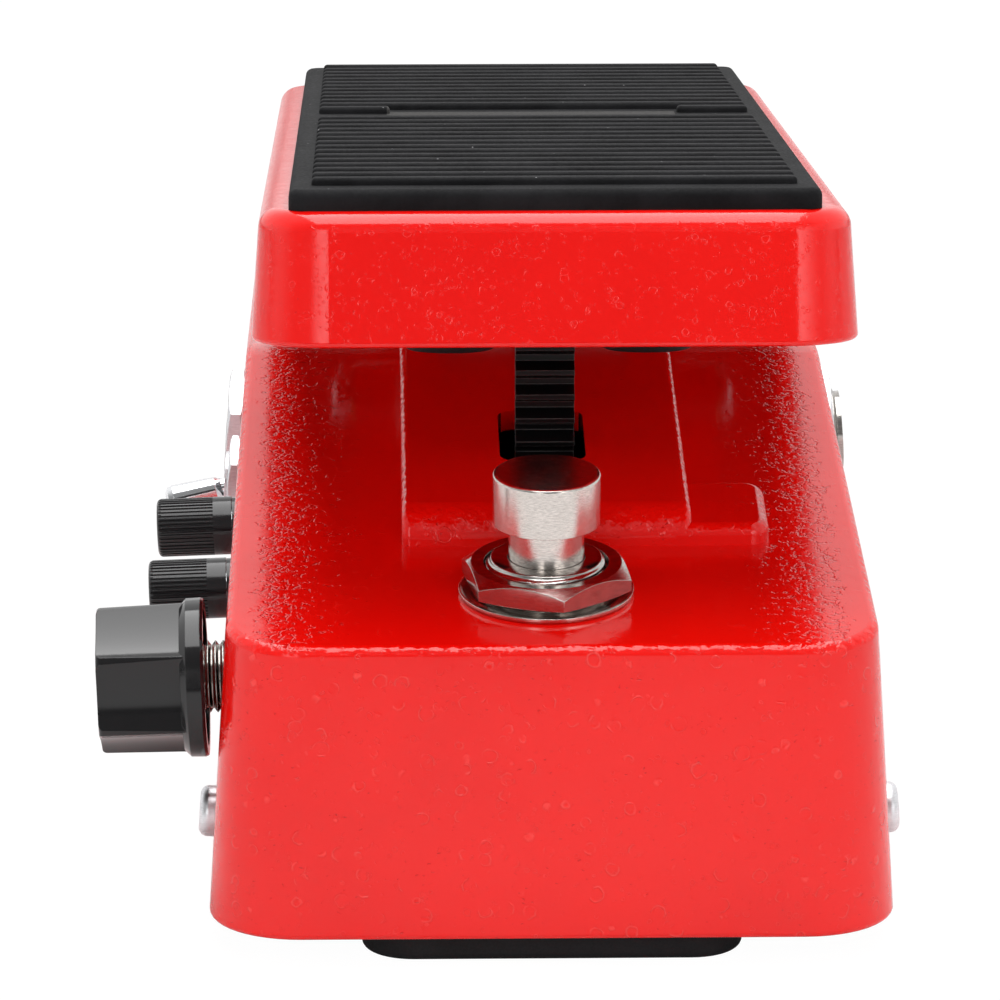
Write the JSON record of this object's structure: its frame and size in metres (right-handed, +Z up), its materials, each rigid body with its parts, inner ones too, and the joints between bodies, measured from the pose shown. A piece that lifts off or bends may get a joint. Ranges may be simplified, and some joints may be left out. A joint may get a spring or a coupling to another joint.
{
  "type": "guitar effects pedal",
  "caption": "Mini rocker effects pedal: tapered case, rocking treadle with ribbed rubber, toe footswitch, side knobs, toggle and signal sockets.",
  "frame": {"origin": "on the ground under the middle of the case, on the face of the base mat", "axes": "+Z up, +Y from the toe end to the heel end, +X to the right seen from the toe end"},
  "size_m": [0.0796, 0.175, 0.0744],
  "materials": {
    "red_paint": "glossy powder coat with a fine pitted, leathery surface",
    "black_plate": "satin black coated steel",
    "rubber": "matt moulded rubber",
    "nickel": "bright nickel plate",
    "chrome": "polished chrome plate",
    "steel": "plain bright steel",
    "aluminium": "satin aluminium",
    "bronze": "plain bearing bronze",
    "white_plastic": "natural acetal",
    "black_plastic": "satin moulded black",
    "gloss_black": "polished moulded black",
    "board_green": "solder mask"
  },
  "bodies": {
    "case": {"case": "red_paint", "base_plate": "black_plate", "base_mat": "rubber", "side_screws": "nickel", "hinge_pin": "steel", "retaining_rings": "steel", "friction_washers": "white_plastic", "sensor_body": "steel", "sensor_nut": "nickel", "footswitch_body": "black_plastic", "footswitch_bushing": "nickel", "footswitch_spring": "steel", "footswitch_washer": "nickel", "footswitch_nut": "nickel", "footswitch_lock_nut": "nickel", "volume_pot": "aluminium", "tone_pot": "black_plastic", "level_pot": "black_plastic", "toggle_body": "nickel", "toggle_nut": "nickel", "output_jack": "black_plastic", "input_jack": "black_plastic", "jack_nuts": "nickel", "jack_washer": "nickel", "jack_lugs": "steel", "power_jack": "black_plastic", "power_pin": "nickel", "circuit_board": "board_green", "board_screws": "steel", "filter_inductor": "aluminium", "capacitors": "black_plastic", "amplifier_chips": "black_plastic", "power_leads": "bronze"},
    "treadle": {"treadle": "red_paint", "tread_rubber": "rubber", "toe_bumpers": "rubber", "heel_bumpers": "rubber", "hinge_bushings": "bronze", "toothed_sector": "black_plastic", "sector_screws": "steel"},
    "pinion": {"pinion": "white_plastic", "sensor_shaft": "steel"},
    "footswitch_button": {"footswitch_button": "nickel"},
    "volume_knob": {"volume_knob": "gloss_black", "volume_shaft": "aluminium"},
    "tone_knob": {"tone_knob": "black_plastic", "tone_shaft": "aluminium"},
    "level_knob": {"level_knob": "black_plastic", "level_shaft": "aluminium"},
    "toggle_lever": {"toggle_lever": "chrome"}
  },
  "joints": [
    {"name": "treadle_rock", "type": "hinge", "parent": "case", "child": "treadle", "pos_m": [0, 0, 0.048], "axis": [1, 0, 0], "range_deg": [-4.1, 15.1]},
    {"name": "pinion_turn", "type": "hinge", "parent": "case", "child": "pinion", "pos_m": [0, -0.03903, 0.02601], "axis": [1, 0, 0], "range_deg": [-126, 34.5]},
    {"name": "footswitch_press", "type": "slide", "parent": "case", "child": "footswitch_button", "axis": [0, 0.1096, -0.994], "range_m": [0, 0.0022], "stiffness_N_per_m": 1500, "deforming": ["footswitch_spring"]},
    {"name": "volume_turn", "type": "hinge", "parent": "case", "child": "volume_knob", "pos_m": [-0.03177, -0.07, 0.0244], "axis": [-0.9994, 0, -0.0349], "range_deg": [-150, 150]},
    {"name": "tone_turn", "type": "hinge", "parent": "case", "child": "tone_knob", "pos_m": [-0.03175, -0.0385, 0.0247], "axis": [-0.9994, 0, -0.0349], "range_deg": [-150, 150]},
    {"name": "level_turn", "type": "hinge", "parent": "case", "child": "level_knob", "pos_m": [-0.03175, -0.0135, 0.0247], "axis": [-0.9994, 0, -0.0349], "range_deg": [-150, 150]},
    {"name": "toggle_throw", "type": "hinge", "parent": "case", "child": "toggle_lever", "pos_m": [-0.02973, 0.0055, 0.02497], "axis": [0, 1, 0], "range_deg": [0, 34.8]}
  ],
  "couplings": [
    {"joint": "pinion_turn", "follows": "treadle_rock", "ratio": -8.3333}
  ]
}
